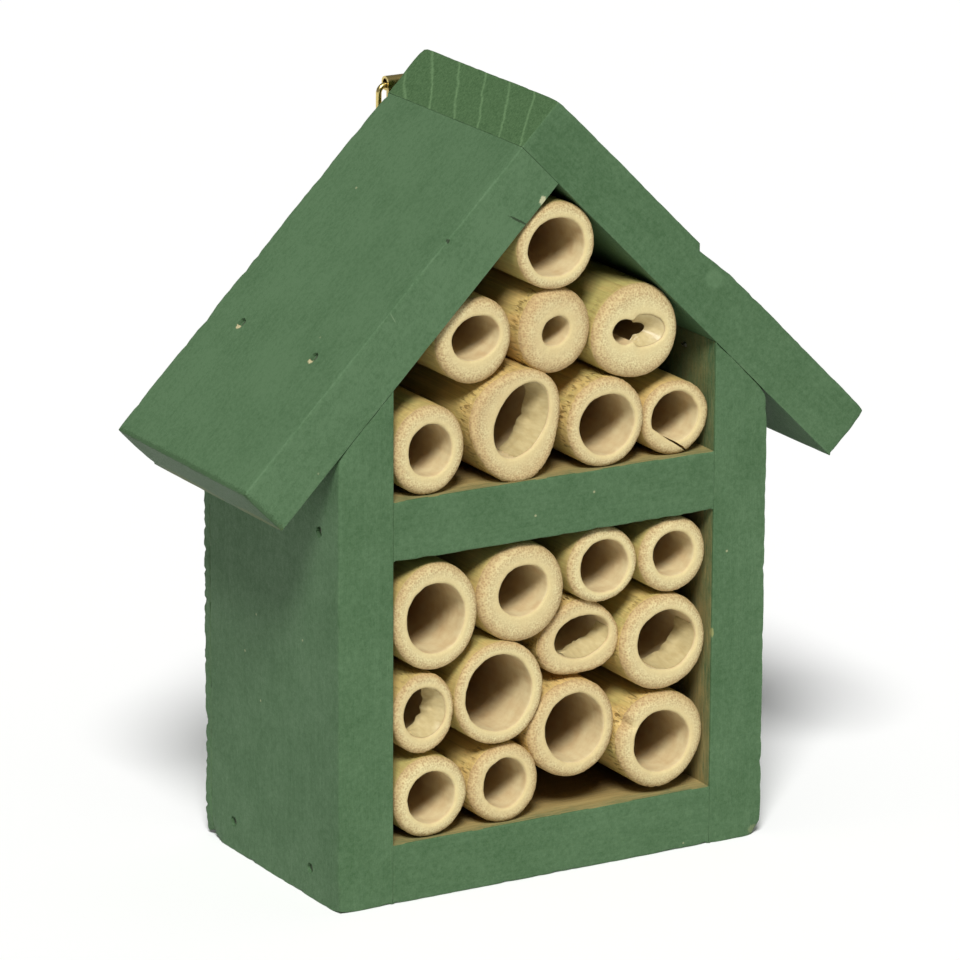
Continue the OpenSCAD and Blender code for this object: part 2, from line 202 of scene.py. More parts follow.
def painted_wood(name, turn, heart=None, tone=0.0, marks=(), plies=False):
    """Matt water-based paint, brushed thin on planed softwood.

    The paint sinks in, so faint grain shows along the boards, end grain is darker
    with paler growth rings, rubbed edges are lighter, and the inside is mostly
    bare wood with some overspray, darkened deeper in as painted shade. turn lays
    the grain along the board, heart is the middle of its growth rings if they show,
    tone lightens it, and marks are small ellipsoids: (place in metres, radii in
    millimetres, tilt in degrees, hex colour, strength).
    """
    material, add = start_material(name)
    look = bpy.context.scene.hotel_boards
    place = add("TexCoord").outputs["Object"]
    # Millimetres, with x along the grain
    grain = add("Mapping", Vector=place, Rotation=(0, turn, 0), Scale=(1000, 1000, 1000))
    edge, end, bare = attributes(add, "edge", "end", "bare")

    # Cloudy brush coverage, about 14 mm across
    cloud = add("TexNoise", Vector=grain, Scale=1 / 14, Detail=5, Roughness=0.65)
    # Grain lines 0.9 mm apart, drawn out to 30 mm
    drawn = add("Mapping", Vector=grain, Scale=(1 / 30, 1 / 0.9, 1 / 0.9))
    lines = add("TexNoise", Vector=drawn, Scale=1, Detail=3, Roughness=0.55, Distortion=0.2)
    # Raised fibres, 0.4 mm wide and 3 mm long
    short = add("Mapping", Vector=grain, Scale=(1 / 3, 1 / 0.4, 1 / 0.4))
    fibres = add("TexNoise", Vector=short, Scale=1, Detail=2, Roughness=0.6)
    # Chalky tooth of the paint, 0.35 mm, and a coarser grit, 0.9 mm
    tooth = add("TexNoise", Vector=grain, Scale=1 / 0.35, Detail=2, Roughness=0.7)
    grit = add("TexNoise", Vector=grain, Scale=1 / 0.9, Detail=3, Roughness=0.7)
    cover = add("Math", cloud, 0.6)
    for layer, weight in ((lines, 0.22), (fibres, 0.18), (tooth, 0.55), (grit, 0.75)):
        cover = add("Math", layer, weight, cover)
    cover = add("MapRange", Value=cover, From_Min=0.92 - tone, From_Max=1.38 - tone)
    paint = add("Mix", cover, (*look.paint_dark, 1), (*look.paint_light, 1))

    # Growth rings 7 mm apart that cross the board's thickness, bent a little by noise
    rings_place = add("Mapping", Vector=grain, Location=(0, *[-v for v in heart or (0, 0)]), Scale=(0, 1, 1))
    bent = add("TexNoise", Vector=grain, Scale=1 / 7, Detail=3)
    reach = add("VectorMath", rings_place, operation="LENGTH").outputs["Value"]
    reach = add("Math", bent, 2.4, reach)
    ring = add("Math", reach, 7.0, operation="DIVIDE")
    ring = add("Math", ring, operation="FRACT")
    ring = add("ValToRGB", Fac=ring, ramp=[(0.0, 0.1), (0.86, 0.1), (0.93, 0.65), (1.0, 0.1)])
    pores = add("TexNoise", Vector=grain, Scale=1 / 0.45, Detail=3, Roughness=0.75)
    ring = add("Math", ring, 0.75 if heart else 0.0, pores)
    ring = add("MapRange", Value=ring, From_Min=0.35, From_Max=1.25)
    soaked = add("Mix", ring, (*look.end_dark, 1), (*look.end_light, 1))
    paint = add("Mix", end, paint, soaked)

    # Rubbed edges
    rub = add("TexNoise", Vector=grain, Scale=1 / 2.2, Detail=5, Roughness=0.75)
    rub = add("MapRange", Value=rub, From_Min=0.5, From_Max=0.66)
    for share in (edge, 0.3):
        rub = add("Math", rub, share)
    paint = add("Mix", rub, paint, (*look.paint_worn, 1))

    # Bare pine where the brush did not reach
    wood = add("Mix", lines, (*look.pine_dark, 1), (*look.pine, 1))
    # Painted shade: from 4 to 12 mm behind the front, the bare wood turns dark brown where the openings lie in shade
    inward_painted_shade = add("SeparateXYZ", grain).outputs["Y"]
    inward_painted_shade = add("MapRange", Value=inward_painted_shade, From_Min=FRONT + 4, From_Max=FRONT + 12, To_Max=0.85)
    wood = add("Mix", inward_painted_shade, wood, linear("#5f4828"))
    missed = add("Math", cloud, fibres, operation="ADD")
    missed = add("Math", missed, -1.0, operation="ADD")
    missed = add("Math", missed, 0.9, bare)
    missed = add("MapRange", Value=missed, From_Min=0.3, From_Max=0.95)
    missed = add("Math", missed, bare, use_clamp=True)
    colour = add("Mix", missed, paint, wood)

    # A few cream specks, 0.3 mm across
    cells = add("TexVoronoi", Vector=grain, Scale=1 / 4.5, Randomness=1)
    near = add("MapRange", Value=cells.outputs["Distance"], From_Min=0.075, From_Max=0.035)
    chosen = add("SeparateColor", cells.outputs["Color"])
    chosen = add("Math", chosen, 0.93, operation="GREATER_THAN")
    for share in (chosen, 0.5):
        near = add("Math", near, share)
    colour = add("Mix", near, colour, linear("#b9b48c"))

    for centre, radii, tilt, hex_colour, strength in marks:
        away = add("Mapping", Vector=place, Location=centre, Rotation=(0, math.radians(tilt), 0),
                   Scale=[radius * MM for radius in radii], vector_type="TEXTURE")
        away = add("VectorMath", away, operation="LENGTH").outputs["Value"]
        away = add("Math", tooth, 1.2, away)
        spot = add("MapRange", Value=away, From_Min=1.6, From_Max=1.3, To_Max=strength)
        colour = add("Mix", spot, colour, linear(hex_colour))

    if plies:
        # Three 1 mm plies show as bands in the panel's edge
        across = add("SeparateXYZ", grain)
        band = add("Math", across.outputs["Y"], 2.0, operation="PINGPONG")
        band = add("MapRange", Value=band, From_Min=0.8, From_Max=1.2, To_Min=0, To_Max=0.35)
        band = add("Math", band, edge)
        colour = add("Mix", band, colour, linear("#5f6f48"))

    rough = add("MapRange", Value=cover, To_Min=0.74, To_Max=0.6)
    height = fibres
    for layer, weight in ((lines, 0.35), (tooth, 0.9), (grit, 0.9)):
        height = add("Math", layer, weight, height)
    bump = add("Bump", Height=height, Strength=0.8, Distance=0.09 * MM)
    add("OutputMaterial", add("BsdfPrincipled", Base_Color=colour, Roughness=rough, Normal=bump,
                              Specular_IOR_Level=0.2))
    return material


def bamboo_end():
    """Bamboo sawn across and sanded: pale ground tissue full of fibre bundles.

    The bundles are constant along the cane, so they are dots on the flat end and
    short dashes where the rim is rounded. They crowd and darken towards the skin.
    """
    material, add = start_material("bamboo_sawn_end")
    look = bpy.context.scene.hotel_canes
    place = add("TexCoord").outputs["Object"]
    wall, tone = attributes(add, "wall", "tone")
    across = add("Mapping", Vector=place, Scale=(1000, 500, 1000))
    wobble = add("TexNoise", Vector=across, Scale=1 / 1.5, Detail=2)
    across = add("Mix", 0.04, across, wobble.outputs["Color"], data_type="VECTOR").outputs[1]
    cells = add("TexVoronoi", Vector=across, Scale=MM / look.fibre, Randomness=0.8)
    dot = add("MapRange", Value=cells.outputs["Distance"], From_Min=0.72, From_Max=0.3)
    chosen = add("SeparateColor", cells.outputs["Color"])
    chosen = add("MapRange", Value=chosen, To_Min=0.6, To_Max=1)
    dot = add("Math", dot, chosen)
    patch = add("TexNoise", Vector=across, Scale=1 / 2.6, Detail=4, Roughness=0.65)
    worn = add("Math", patch, 0.55, wall)
    crowd = add("ValToRGB", Fac=worn, ramp=[(0.2, 0.06), (0.5, 0.22), (0.78, 0.55), (1.0, 0.75)])
    dot = add("Math", dot, crowd)
    shade = add("Math", tone, 0.4, patch)
    shade = add("MapRange", Value=shade, From_Min=0.3, From_Max=0.95)
    ground = add("Mix", shade, linear("#c6b080"), (*look.face, 1))
    # Sanding leaves the inner edge cleaner and paler
    inner = add("MapRange", Value=wall, From_Min=0.3, From_Max=0.05, To_Max=0.5)
    ground = add("Mix", inner, ground, linear("#cfbc88"))
    # The skin's own ring is tan
    outer = add("MapRange", Value=wall, From_Min=0.55, From_Max=1.0, To_Max=0.55)
    ground = add("Mix", outer, ground, linear("#b08a55"))
    colour = add("Mix", dot, ground, (*look.bundle, 1))
    saw = add("TexNoise", Vector=across, Scale=1 / 0.25, Detail=2)
    height = add("Math", dot, -1.2, saw)
    bump = add("Bump", Height=height, Strength=0.8, Distance=0.06 * MM)
    add("OutputMaterial", add("BsdfPrincipled", Base_Color=colour, Normal=bump, Roughness=0.75,
                              Specular_IOR_Level=0.25))
    return material


def bamboo_skin():
    """Dried bamboo skin: silky, finely ribbed along the cane, tan with green left in it.

    Short dashes behind the rim are fibres that the saw tore.
    """
    material, add = start_material("bamboo_dried_skin")
    look = bpy.context.scene.hotel_canes
    place = add("TexCoord").outputs["Object"]
    behind, tone, scar = attributes(add, "behind", "tone", "scar")
    # Ribs 0.3 mm apart that run 30 mm along the cane
    along = stretched(add, place, 0.4, 30, 0.4)
    ribs = add("TexNoise", Vector=along, Scale=1, Detail=3, Roughness=0.6)
    blotch = stretched(add, place, 4, 9, 4)
    blotch = add("TexNoise", Vector=blotch, Scale=1, Detail=3, Roughness=0.6)
    green = add("Math", tone, 0.55, blotch)
    green = add("MapRange", Value=green, From_Min=0.5, From_Max=1.0)
    colour = add("Mix", green, (*look.skin, 1), (*look.skin_green, 1))
    dark = add("MapRange", Value=ribs, From_Min=0.35, From_Max=0.7, To_Max=0.4)
    colour = add("Mix", dark, colour, linear("#86693a"))
    # Torn fibres: dashes 0.25 mm wide and 1.2 mm long
    dashes = stretched(add, place, 0.42, 1.5, 0.42)
    dashes = add("TexVoronoi", Vector=dashes, Scale=1, Randomness=1)
    dash = add("MapRange", Value=dashes.outputs["Distance"], From_Min=0.4, From_Max=0.15)
    dash = add("Math", dash, scar)
    colour = add("Mix", dash, colour, linear("#d9c387"))
    # and the dark gaps between them, 2.5 mm long
    gaps = stretched(add, place, 0.55, 2.5, 0.55)
    gaps = add("TexNoise", Vector=gaps, Scale=1, Detail=1)
    gaps = add("MapRange", Value=gaps, From_Min=0.46, From_Max=0.34)
    gaps = add("Math", gaps, scar, use_clamp=True)
    colour = add("Mix", gaps, colour, linear("#6b5026"))
    # Sanding has paled the first millimetre behind the rim
    paled = add("MapRange", Value=behind, From_Min=1.2, From_Max=3.2, To_Min=0.5, To_Max=0)
    colour = add("Mix", paled, colour, linear("#c7ad74"))
    height = add("Math", dash, 1.2, ribs)
    height = add("Math", gaps, -2.5, height)
    bump = add("Bump", Height=height, Strength=0.9, Distance=0.1 * MM)
    rough = add("MapRange", Value=dash, To_Min=0.42, To_Max=0.8)
    add("OutputMaterial", add("BsdfPrincipled", Base_Color=colour, Roughness=rough, Normal=bump,
                              Specular_IOR_Level=0.4))
    return material


def bamboo_bore():
    """The smooth pith lining of a cane: cream, faintly streaked, and darker brown deeper in, partly its own tone and
    partly painted shade.
    """
    material, add = start_material("bamboo_bore_lining")
    look = bpy.context.scene.hotel_canes
    place = add("TexCoord").outputs["Object"]
    behind, = attributes(add, "behind")
    along = stretched(add, place, 1.2, 10, 1.2)
    streak = add("TexNoise", Vector=along, Scale=1, Detail=3, Roughness=0.5)
    blotch = add("TexNoise", Vector=place, Scale=1000 / 3.5, Detail=4, Roughness=0.6)
    mixed = add("Math", streak, 0.35, blotch)
    mixed = add("MapRange", Value=mixed, From_Min=0.42, From_Max=0.85)
    colour = add("Mix", mixed, linear("#c6ab7e"), (*look.bore, 1))
    # Painted shade as well as the pith's browner tone: the lining turns dark brown from 4 to 22 mm inside
    deep = add("MapRange", Value=behind, From_Min=4, From_Max=22, To_Max=0.85)
    colour = add("Mix", deep, colour, linear("#8f6a3c"))
    bump = add("Bump", Height=streak, Strength=0.5, Distance=0.07 * MM)
    add("OutputMaterial", add("BsdfPrincipled", Base_Color=colour, Normal=bump, Roughness=0.5))
    return material


def papery_film():
    """The thin dry film that lines young bamboo, peeled and pale with a silky shine."""
    material, add = start_material("bamboo_papery_film")
    look = bpy.context.scene.hotel_canes
    place = add("TexCoord").outputs["Object"]
    across = stretched(add, place, 0.9, 3, 0.9)
    crease = add("TexNoise", Vector=across, Scale=1, Detail=3)
    colour = add("Mix", crease, linear("#aa9564"), (*look.film, 1))
    bump = add("Bump", Height=crease, Strength=0.8, Distance=0.15 * MM)
    add("OutputMaterial", add("BsdfPrincipled", Base_Color=colour, Normal=bump, Roughness=0.42))
    return material


def stamped_brass():
    """Thin rolled brass, stamped and tumbled: bright, with fine rolling lines and dull spots."""
    material, add = start_material("brass_stamped")
    look = bpy.context.scene.hotel_hanger
    place = add("TexCoord").outputs["Object"]
    rolled = stretched(add, place, 0.12, 0.12, 6)
    lines = add("TexNoise", Vector=rolled, Scale=1, Detail=2)
    dull = add("TexNoise", Vector=place, Scale=1000 / 1.6, Detail=4, Roughness=0.65)
    tarnish = add("MapRange", Value=dull, From_Min=0.48, From_Max=0.75, To_Max=0.65)
    colour = add("Mix", tarnish, (*look.brass, 1), linear("#a08a52"))
    rough = add("MapRange", Value=dull, From_Min=0.3, From_Max=0.8, To_Min=0.18, To_Max=0.48)
    bump = add("Bump", Height=lines, Strength=0.4, Distance=0.02 * MM)
    add("OutputMaterial", add("BsdfPrincipled", Base_Color=colour, Roughness=rough, Normal=bump, Metallic=1))
    return material


def painted_steel():
    """Bright drawn steel of brads and staples, filmed over with the house's paint."""
    material, add = start_material("steel_drawn_overpainted")
    look = bpy.context.scene.hotel_hanger
    place = add("TexCoord").outputs["Object"]
    film = add("TexNoise", Vector=place, Scale=1000 / 0.7, Detail=3)
    film = add("MapRange", Value=film, From_Min=0.56, From_Max=0.44)
    colour = add("Mix", film, (*look.steel, 1), linear("#39442c"))
    metal = add("Math", 1.0, film, operation="SUBTRACT")
    add("OutputMaterial", add("BsdfPrincipled", Base_Color=colour, Metallic=metal, Roughness=0.5))
    return material


# ---------------------------------------------------------------- making pieces

def finished(shape, name):
    """The mesh of a bmesh, which is freed."""
    mesh = bpy.data.meshes.new(name)
    shape.to_mesh(mesh)
    shape.free()
    return mesh


def place_mesh(name, mesh, materials, nodes=(), sharp=50):
    """A piece of the house with its materials and the CAD nodes it stands for."""
    piece = bpy.data.objects.new(name, mesh)
    bpy.context.scene.collection.objects.link(piece)
    for material in materials:
        mesh.materials.append(material)
    mesh.polygons.foreach_set("use_smooth", [True] * len(mesh.polygons))
    mesh.set_sharp_from_angle(angle=math.radians(sharp))
    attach(piece, "house")
    if nodes:
        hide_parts(*nodes)


def islands(node, turn=Matrix.Identity(4)):
    """Boxes of a CAD node's separate solids, in millimetres, in a turned frame."""
    shape = bmesh.new()
    shape.from_mesh(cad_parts[node].data)
    bmesh.ops.scale(shape, vec=(1 / MM,) * 3, verts=shape.verts)
    bmesh.ops.remove_doubles(shape, verts=shape.verts, dist=0.001)
    bmesh.ops.transform(shape, matrix=turn.inverted(), verts=shape.verts)
    seen, boxes = set(), []
    for vert in shape.verts:
        if vert in seen:
            continue
        group, queue = [], [vert]
        seen.add(vert)
        while queue:
            point = queue.pop()
            group.append(point.co.copy())
            for edge in point.link_edges:
                other = edge.other_vert(point)
                if other not in seen:
                    seen.add(other)
                    queue.append(other)
        boxes.append((Vector(map(min, zip(*group))), Vector(map(max, zip(*group)))))
    shape.free()
    return boxes


def keep_side(shape, point, normal):
    """Cuts a closed shape by a plane, drops what is past it and closes the cut."""
    geometry = shape.verts[:] + shape.edges[:] + shape.faces[:]
    cut = bmesh.ops.bisect_plane(shape, geom=geometry, dist=1e-5, plane_co=point, plane_no=normal, clear_outer=True)
    rim = [item for item in cut["geom_cut"] if isinstance(item, bmesh.types.BMEdge)]
    bmesh.ops.contextual_create(shape, geom=rim)


def slice_up(shape, axis, places):
    """Adds rings of edges across a shape at places along an axis."""
    normal = (X, Y, Z)[axis]
    for place in places:
        geometry = shape.verts[:] + shape.edges[:] + shape.faces[:]
        bmesh.ops.bisect_plane(shape, geom=geometry, dist=1e-5, plane_co=normal * place, plane_no=normal)


def evenly(low, high, step):
    count = max(1, round((high - low) / step))
    return [low + (high - low) * i / count for i in range(1, count)]


def pit_cutter(pits):
    """One mesh of the ragged holes that fixings were driven into: (matrix, width, length, depth)."""
    shape = bmesh.new()
    for turn, width, length, depth in pits:
        made = bmesh.ops.create_cone(shape, cap_ends=True, segments=18, radius1=0.5, radius2=0.56, depth=2 * depth)
        for vert in made["verts"]:
            wave = noise(vert.co * 5 + turn.translation)
            vert.co.x *= length * (1 + 0.45 * wave)
            vert.co.y *= width * (1 - 0.45 * wave)
        bmesh.ops.transform(shape, matrix=turn, verts=made["verts"])
    return bpy.data.objects.new("pits", finished(shape, "pits"))


class Board:
    """A planed board in its own frame, in millimetres: low and high corners, and cuts across it."""

    def __init__(self, low, high, turn=Matrix.Identity(4), cuts=(), grain=0):
        self.low, self.high, self.turn = Vector(low), Vector(high), turn
        self.cuts, self.grain = [(Vector(p), Vector(n).normalized()) for p, n in cuts], grain
        self.planes = [(self.low, -axis) for axis in (X, Y, Z)] + [(self.high, axis) for axis in (X, Y, Z)]
        self.planes += self.cuts

    def near(self, point):
        """(distance, plane) pairs, nearest first."""
        found = [((place - point).dot(normal), normal) for place, normal in self.planes]
        return sorted(found, key=lambda pair: pair[0])

    def shape(self, look, joint, fine):
        """The board's box, cut, rounded and divided. Edges in a joint stay crisper."""
        shape = bmesh.new()
        bmesh.ops.create_cube(shape, size=1)
        size = self.high - self.low
        bmesh.ops.scale(shape, vec=size, verts=shape.verts)
        bmesh.ops.translate(shape, vec=(self.low + self.high) / 2, verts=shape.verts)
        for place, normal in self.cuts:
            keep_side(shape, place, normal)
        middles = {edge: (edge.verts[0].co + edge.verts[1].co) / 2 for edge in shape.edges}
        crisp = [edge for edge, middle in middles.items() if joint(middle)]
        rounding = look.rounding / MM
        for edges, offset in ((crisp, look.joint / MM), (None, rounding)):
            if edges is None:
                shape.normal_update()
                edges = [edge for edge in shape.edges if edge.calc_face_angle(0) > (1 if crisp else 0.6)]
            if edges:
                bmesh.ops.bevel(shape, geom=edges, offset=offset, offset_type="OFFSET", segments=2, profile=0.5,
                                affect="EDGES", material=-1, clamp_overlap=True)
        for axis in range(3):
            low, high = self.low[axis], self.high[axis]
            gap = look.grid / MM * (0.6 if axis == fine else 1)
            slice_up(shape, axis, evenly(low + rounding, high - rounding, gap))
            slice_up(shape, axis, [low + rounding + 0.3, high - rounding - 0.3])
        return shape

    def age(self, shape, wear, fray, seed, joint, dents, carve):
        """Wears and frays the edges and makes the faces slightly uneven, always inwards."""
        drift = Vector((seed * 17.3, seed * 5.1, seed * 9.7))
        for vert in shape.verts:
            point = vert.co.copy()
            (first, normal), (second, other), (third, last) = self.near(point)[:3]
            coarse = noise(point / 9 + drift)
            fine = noise(point / 2.6 + drift)
            bite = max(0, 0.15 + 0.5 * coarse + 2.2 * max(0, fine - 0.15))
            free = 0.15 if joint(point) else 1.0
            depth = free * wear * bite * math.exp(-second / 0.7)
            depth += free * fray * max(0, noise(point / 0.9 + drift)) * math.exp(-second / 0.45)
            vert.co -= (normal + other) * depth
            corner = wear * 2.2 * math.exp(-(second + third) / 1.6)
            vert.co -= (normal + other + last) * free * corner * (0.5 + 0.4 * coarse)
            vert.co -= normal * 0.02 * free * (1 + noise(point / 14 + drift))
            for centre, radius, depth, push in dents:
                fall = bell((point - centre).length, radius)
                vert.co += push * depth * fall * (1 + 0.35 * fine)
            vert.co += carve(point)

    def mark(self, shape, bare_faces):
        """Stores what the paint needs: nearness to an edge, end grain and bare wood."""
        edge = shape.verts.layers.float.new("edge")
        end = shape.faces.layers.float.new("end")
        bare = shape.faces.layers.float.new("bare")
        for vert in shape.verts:
            vert[edge] = math.exp(-max(0, self.near(vert.co)[1][0]) / 0.35)
        shape.normal_update()
        for face in shape.faces:
            along = abs(face.normal[self.grain])
            face[end] = 1.0 if along > 0.68 else 0.0
            face[bare] = bare_faces(face.calc_center_median(), face.normal)

    def build(self, node, material, seed, bare=lambda place, normal: 0.0, joint=lambda middle: False, pits=(),
              dents=(), carve=lambda point: Vector(), wear=None, fray=0.16, fine=-1):
        """Makes the board as a piece of the house.

        bare and joint tell bare wood and joint edges by place, a dent is (middle, radius,
        depth, direction), carve moves a point, and fine is the axis with a closer grid.
        """
        look = bpy.context.scene.hotel_boards
        shape = self.shape(look, joint, fine)
        self.age(shape, look.wear / MM if wear is None else wear, fray, seed, joint, dents, carve)
        self.mark(shape, bare)
        bmesh.ops.recalc_face_normals(shape, faces=shape.faces)
        mesh = finished(shape, node)
        if pits:
            mesh = carved(mesh, pit_cutter(pits))
        mesh.transform(Matrix.Scale(MM, 4) @ self.turn)
        place_mesh(node + "_wood", mesh, [material], [node])


def carved(mesh, cutter):
    """A mesh with a cutter taken out of it, by a Boolean that is applied here."""
    solid = bpy.data.objects.new("solid", mesh)
    for made in (solid, cutter):
        bpy.context.scene.collection.objects.link(made)
    modifier = solid.modifiers.new("cut", "BOOLEAN")
    modifier.operation, modifier.solver, modifier.object = "DIFFERENCE", "EXACT", cutter
    result = bpy.data.meshes.new_from_object(solid.evaluated_get(bpy.context.evaluated_depsgraph_get()))
    for made in (solid, cutter):
        old = made.data
        bpy.data.objects.remove(made)
        bpy.data.meshes.remove(old)
    return result


def pits_over(node, turn, axis, outward, surface, share=1.0):
    """Pits over a node's fixings, driven along an axis of the turned frame from a surface."""
    pits = []
    for low, high in islands(node, turn):
        centre, size = (low + high) / 2, high - low
        head = high[axis] if outward > 0 else low[axis]
        if abs(surface - head) > 2:
            continue
        centre[axis] = surface
        facing = (X, Y, Z)[axis] * outward
        side = (Y, X, X)[axis]
        spin = Matrix((side, facing.cross(side), facing)).transposed().to_4x4()
        length, width = size[(1, 0, 0)[axis]], size[(2, 2, 1)[axis]]
        if share < 1:
            # Filler and paint close most of a staple's slot
            length, width = length * share, width + 0.7
        pits.append((Matrix.Translation(centre) @ spin, width + 0.2, length + 0.2, abs(surface - head) + 0.03))
    return pits


# ---------------------------------------------------------------- the house's geometry, from the CAD model

LEFT_LOW, LEFT_HIGH = box_mm("wall_left")
RIGHT_LOW, RIGHT_HIGH = box_mm("wall_right")
PANEL_LOW, PANEL_HIGH = box_mm("back_panel")
FLOOR_LOW, FLOOR_HIGH = box_mm("floor_board")
SHELF_LOW, SHELF_HIGH = box_mm("shelf")
FRONT, PANEL_Y, BACK = LEFT_LOW.y, PANEL_LOW.y, PANEL_HIGH.y
APEX = RIGHT_HIGH.z + RIGHT_LOW.x
ROOF_T = (box_mm("roof_board_right")[1].z - APEX) / ROOT2
SLOPE_RIGHT = Matrix.Translation((0, 0, APEX)) @ Matrix.Rotation(math.radians(45), 4, "Y")
SLOPE_LEFT = Matrix.Translation((0, 0, APEX)) @ Matrix.Rotation(math.radians(135), 4, "Y")
REACH_RIGHT = (APEX - box_mm("roof_board_right")[0].z) * ROOT2
REACH_LEFT = (APEX - box_mm("roof_board_left")[0].z) * ROOT2


def inside_bare(place, normal):
    """Bare wood inside the two openings, with overspray near the front. The walls of the lower opening are barer and
    paler than those of the upper one, as painted light and shade.
    """
    inner = LEFT_HIGH.x - 0.2 < place.x < RIGHT_LOW.x + 0.2
    if not inner or place.z > APEX or place.y < FRONT + 0.4 or place.z < FLOOR_HIGH.z - 0.3:
        return 0.0
    if abs(normal.y) > 0.6:
        return 0.0
    depth = min(1, (place.y - FRONT) / 5)
    # Painted light and shade: walls below the shelf get more pale bare wood, walls above it more green paint
    side = 0.88 if place.z < SHELF_LOW.z else 0.62
    return (1.0 if normal.z > 0.5 else side if abs(normal.x) > 0.5 else 0.35) * (0.7 + 0.3 * depth)


def by_panel(middle):
    """Whether an edge of a wall meets the back panel."""
    return middle.z > LEFT_LOW.z + 5 and abs(middle.y - PANEL_Y) < 0.1


class HOTEL_OT_walls(bpy.types.Operator):
    """Builds the side walls, the floor and the shelf"""
    bl_idname = "insect_hotel.walls"
    bl_label = "Walls, floor and shelf"

    def execute(self, context):
        upright = math.radians(90)
        front = FRONT * MM
        right_marks = [((0.0484, front, 0.0012), (1.5, 1.5, 1.2), 0, "#7f8a62", 0.6),
                       ((0.0375, front, 0.0458), (0.5, 1, 1.1), 0, "#96965f", 0.7)]
        left = Board(LEFT_LOW, LEFT_HIGH, cuts=[((LEFT_HIGH.x, 0, LEFT_HIGH.z), (-1, 0, 1))], grain=2)
        left.build("wall_left", painted_wood("painted_pine_wall_left", upright), 1, inside_bare,
                   lambda middle: middle.x > LEFT_HIGH.x - 0.1 or by_panel(middle),
                   pits_over("wall_brads_left", left.turn, 0, -1, LEFT_LOW.x),
                   [(Vector((LEFT_LOW.x, PANEL_Y, 0)), 2.8, 1.3, Vector((0.4, -0.1, 0.6))),
                    (Vector((LEFT_LOW.x, FRONT, 0)), 2.0, 0.5, Vector((0.5, 0.3, 0.7)))])
        right = Board(RIGHT_LOW, RIGHT_HIGH, cuts=[((RIGHT_LOW.x, 0, RIGHT_HIGH.z), (1, 0, 1))], grain=2)
        right.build("wall_right", painted_wood("painted_pine_wall_right", upright, marks=right_marks), 2, inside_bare,
                    lambda middle: middle.x < RIGHT_LOW.x + 0.1 or by_panel(middle),
                    pits_over("wall_brads_right", right.turn, 0, 1, RIGHT_HIGH.x),
                    [(Vector((RIGHT_HIGH.x, FRONT, 0)), 2.2, 0.8, Vector((-0.7, 0.5, 0.7)))])
        ends = lambda middle: min(middle.x - LEFT_HIGH.x, RIGHT_LOW.x - middle.x) < 0.1
        floor = Board(FLOOR_LOW, FLOOR_HIGH, grain=0)
        floor.build("floor_board", painted_wood("painted_pine_floor", 0), 3, inside_bare, ends)
        shelf = Board(SHELF_LOW, SHELF_HIGH, grain=0)
        shelf.build("shelf", painted_wood("painted_pine_shelf", 0), 4, inside_bare, ends)
        return {"FINISHED"}


class HOTEL_OT_roof(bpy.types.Operator):
    """Builds the two roof boards"""
    bl_idname = "insect_hotel.roof"
    bl_label = "Roof boards"

    def execute(self, context):
        front = FRONT * MM
        left_marks = [
            ((-0.0037, front, 0.142), (0.8, 1.2, 1.1), 20, "#b3b48f", 0.95),
            ((-0.0252, front, 0.1364), (0.45, 1, 0.5), 0, "#2a3522", 0.9),
            ((-0.0092, front, 0.1386), (2.8, 1, 0.26), 29, "#26331f", 0.85),
            ((-0.0377, front, 0.1224), (0.16, 1, 1.4), -30, "#7f9472", 0.4),
        ]
        left = Board((0, FRONT, -ROOF_T), (REACH_LEFT, PANEL_Y, 0), SLOPE_LEFT, grain=0)
        pits = pits_over("eave_staples_left", left.turn, 2, -1, -ROOF_T, 0.42)
        # The eave's end is darkened, partly as end grain soaked with paint and partly as painted shade, and its lower
        # arris is rubbed to olive
        end = left.turn @ Vector((REACH_LEFT, (FRONT + PANEL_Y) / 2, -ROOF_T / 2))
        left_marks.append((list(end * MM), (1.4, 60, 14), 135, "#32492c", 0.6))
        for y, long in ((FRONT + 9, 10), (FRONT + 37, 15)):
            place = left.turn @ Vector((REACH_LEFT, y, -0.6))
            left_marks.append((list(place * MM), (1.8, long, 1.8), 0, "#5a6136", 0.6))
        # The filler over each staple has flaked
        for matrix, width, length, depth in pits:
            place = left.turn @ (matrix.translation + matrix.to_3x3() @ Vector((length * 0.55, 0, 0)))
            left_marks.append((list(place * MM), (0.8, 0.9, 0.8), 0, "#c2b68c", 0.95))
        paint = painted_wood("painted_pine_roof_left", math.radians(-135), None, 0.13, left_marks)
        left.build("roof_board_left", paint, 5,
                   joint=lambda middle: middle.x < 0.1 or middle.z > -0.1, pits=pits)
        right = Board((-ROOF_T, FRONT, 0), (REACH_RIGHT, PANEL_Y, ROOF_T), SLOPE_RIGHT, grain=0)
        pits = [pit for node in ("eave_staples_right", "ridge_staples")
                for pit in pits_over(node, right.turn, 2, 1, ROOF_T, 0.42)]

        def knot(point):
            """A knot has broken out of the top front edge: a step, fading down the slope."""
            along = 1 - (point.x - 35.8) / 10.5
            if not 0 < along <= 1:
                return Vector()
            fall = bell(point.y - FRONT, 4) * bell(ROOF_T - point.z, 2.2)
            return Vector((0, 0.25, -1)) * 1.15 * along * fall

        right_marks = [((0.0368, front, 0.1208), (2.5, 1, 2.2), 20, "#6c8a66", 0.28)]
        paint = painted_wood("painted_pine_roof_right", math.radians(-45), (102, 10.5), -0.04, right_marks)
        right.build("roof_board_right", paint, 6,
                    joint=lambda middle: middle.z < 0.1, pits=pits, carve=knot)
        return {"FINISHED"}


